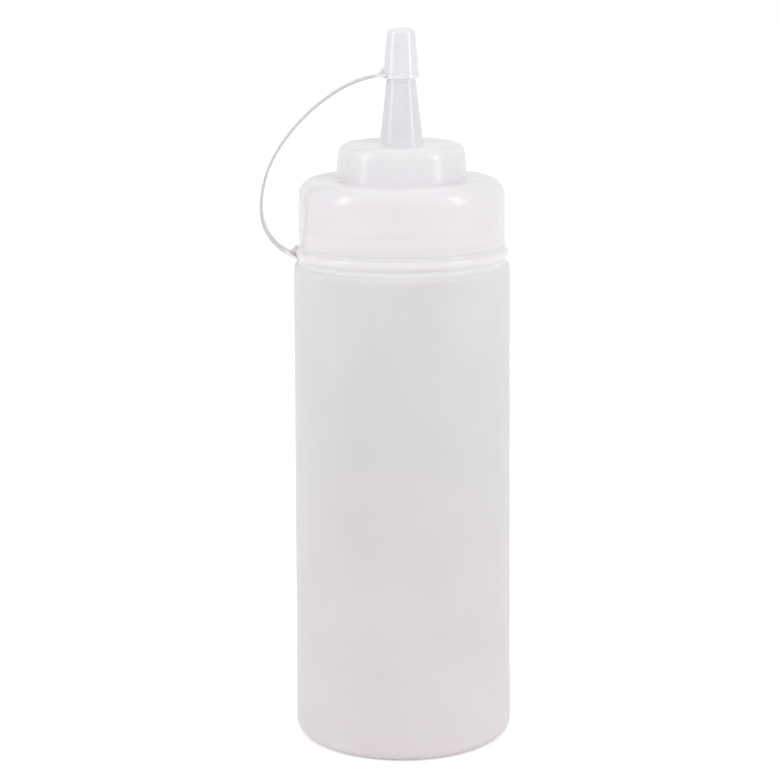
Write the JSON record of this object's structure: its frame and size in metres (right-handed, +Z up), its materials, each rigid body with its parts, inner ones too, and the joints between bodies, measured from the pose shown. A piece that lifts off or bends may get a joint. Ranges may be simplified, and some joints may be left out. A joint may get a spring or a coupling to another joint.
{
  "type": "squeeze bottle",
  "caption": "Milky plastic squeeze bottle with a round, nearly straight body, a screw cap with a tapered nozzle, and a tip cap on a strap that is ringed round the screw cap's foot.",
  "frame": {"origin": "centre of the foot ring, on the surface that the bottle stands on", "axes": "+Z up along the bottle's axis, -X towards the strap, which lies in the XZ plane"},
  "size_m": [0.0825, 0.0726, 0.2358],
  "materials": {
    "bottle_plastic": "natural low-density polyethylene, milky and translucent, satin from the blow mould",
    "cap_plastic": "natural low-density polyethylene, milky and translucent, smooth moulded shine",
    "tether_plastic": "natural low-density polyethylene, milky and translucent, thin, smooth moulded shine"
  },
  "bodies": {
    "root": {"bottle": "bottle_plastic", "screw_cap": "cap_plastic", "tethered_cap": "tether_plastic"}
  },
  "joints": []
}
